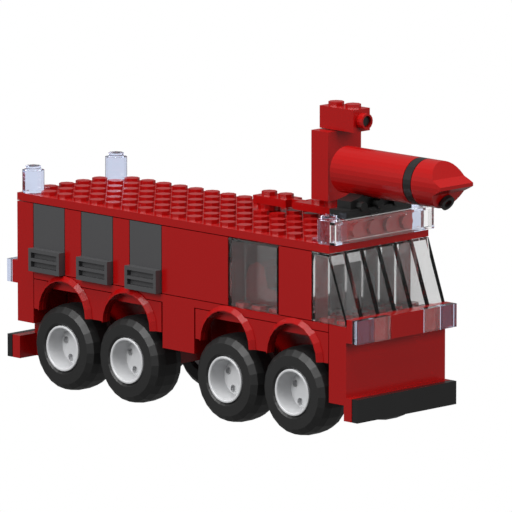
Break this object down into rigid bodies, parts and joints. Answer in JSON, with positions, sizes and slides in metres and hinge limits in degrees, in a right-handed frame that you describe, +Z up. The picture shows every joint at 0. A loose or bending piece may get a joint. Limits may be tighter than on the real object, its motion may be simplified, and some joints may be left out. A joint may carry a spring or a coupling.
{
  "type": "toy airport fire truck",
  "caption": "Brick-built toy airport fire truck in red with eight wheels, a roof water cannon and a folding lamp mast.",
  "frame": {"origin": "on the ground, under the middle of the toy's overall length and the middle of its body's width", "axes": "+X forward, +Y to the toy's left, +Z up"},
  "size_m": [0.1932, 0.0534, 0.1085],
  "materials": {
    "red_plastic": "gloss",
    "black_plastic": "gloss",
    "dark_grey_plastic": "gloss",
    "light_grey_plastic": "gloss",
    "smoke_plastic": "transparent gloss",
    "clear_plastic": "transparent gloss",
    "clear_blue_plastic": "transparent gloss",
    "tyre_rubber": "satin"
  },
  "bodies": {
    "body": {"beacon_front_left": "clear_blue_plastic", "beacon_front_right": "clear_blue_plastic", "beacon_rear_left": "clear_blue_plastic", "beacon_rear_right": "clear_blue_plastic", "cab_desk": "dark_grey_plastic", "cab_post_left": "red_plastic", "cab_post_right": "red_plastic", "cab_seat": "red_plastic", "cannon_band": "black_plastic", "cannon_barrel": "red_plastic", "cannon_mount": "black_plastic", "cannon_nose": "red_plastic", "chassis": "red_plastic", "deck_plate": "red_plastic", "front_bumper": "black_plastic", "front_lamp_inner_left": "clear_plastic", "front_lamp_inner_right": "clear_plastic", "front_lamp_outer_left": "clear_blue_plastic", "front_lamp_outer_right": "clear_blue_plastic", "front_wall": "red_plastic", "rear_bumper": "black_plastic", "rear_lamp_left": "clear_blue_plastic", "rear_lamp_right": "clear_blue_plastic", "rear_wall": "red_plastic", "roof_plate": "red_plastic", "shutters_left": "dark_grey_plastic", "shutters_right": "dark_grey_plastic", "side_wall_left": "red_plastic", "side_wall_right": "red_plastic", "side_window_left": "smoke_plastic", "side_window_right": "smoke_plastic", "sign_brick": "red_plastic", "sign_panel": "clear_plastic", "spout_ring": "black_plastic", "wheel_guard_front_left": "red_plastic", "wheel_guard_front_right": "red_plastic", "wheel_guard_rear_left": "red_plastic", "wheel_guard_rear_right": "red_plastic", "windscreen": "smoke_plastic"},
    "arm": {"arm_base": "red_plastic"},
    "arm_upper": {"arm_plate": "red_plastic", "mast": "red_plastic", "mast_head": "red_plastic", "mast_lens": "black_plastic"},
    "wheel_1_right": {"rim_1_right": "light_grey_plastic", "tyre_1_right": "tyre_rubber"},
    "wheel_1_left": {"rim_1_left": "light_grey_plastic", "tyre_1_left": "tyre_rubber"},
    "wheel_2_right": {"rim_2_right": "light_grey_plastic", "tyre_2_right": "tyre_rubber"},
    "wheel_2_left": {"rim_2_left": "light_grey_plastic", "tyre_2_left": "tyre_rubber"},
    "wheel_3_right": {"rim_3_right": "light_grey_plastic", "tyre_3_right": "tyre_rubber"},
    "wheel_3_left": {"rim_3_left": "light_grey_plastic", "tyre_3_left": "tyre_rubber"},
    "wheel_4_right": {"rim_4_right": "light_grey_plastic", "tyre_4_right": "tyre_rubber"},
    "wheel_4_left": {"rim_4_left": "light_grey_plastic", "tyre_4_left": "tyre_rubber"}
  },
  "joints": [
    {"name": "spin_1_right", "type": "hinge", "parent": "body", "child": "wheel_1_right", "pos_m": [-0.06723, -0.0187, 0.0152], "axis": [0, 1, 0], "continuous": true},
    {"name": "spin_1_left", "type": "hinge", "parent": "body", "child": "wheel_1_left", "pos_m": [-0.06723, 0.0187, 0.0152], "axis": [0, 1, 0], "continuous": true},
    {"name": "spin_2_right", "type": "hinge", "parent": "body", "child": "wheel_2_right", "pos_m": [-0.03523, -0.0187, 0.0152], "axis": [0, 1, 0], "continuous": true},
    {"name": "spin_2_left", "type": "hinge", "parent": "body", "child": "wheel_2_left", "pos_m": [-0.03523, 0.0187, 0.0152], "axis": [0, 1, 0], "continuous": true},
    {"name": "spin_3_right", "type": "hinge", "parent": "body", "child": "wheel_3_right", "pos_m": [0.01277, -0.0187, 0.0152], "axis": [0, 1, 0], "continuous": true},
    {"name": "spin_3_left", "type": "hinge", "parent": "body", "child": "wheel_3_left", "pos_m": [0.01277, 0.0187, 0.0152], "axis": [0, 1, 0], "continuous": true},
    {"name": "spin_4_right", "type": "hinge", "parent": "body", "child": "wheel_4_right", "pos_m": [0.04477, -0.0187, 0.0152], "axis": [0, 1, 0], "continuous": true},
    {"name": "spin_4_left", "type": "hinge", "parent": "body", "child": "wheel_4_left", "pos_m": [0.04477, 0.0187, 0.0152], "axis": [0, 1, 0], "continuous": true},
    {"name": "arm_swivel", "type": "hinge", "parent": "body", "child": "arm", "pos_m": [-0.00323, 0.012, 0.06712], "axis": [0, 0, 1], "range_deg": [-90, 90]},
    {"name": "arm_lift", "type": "hinge", "parent": "arm", "child": "arm_upper", "pos_m": [0.01277, 0.012, 0.07112], "axis": [0, -1, 0], "range_deg": [0, 90]}
  ]
}
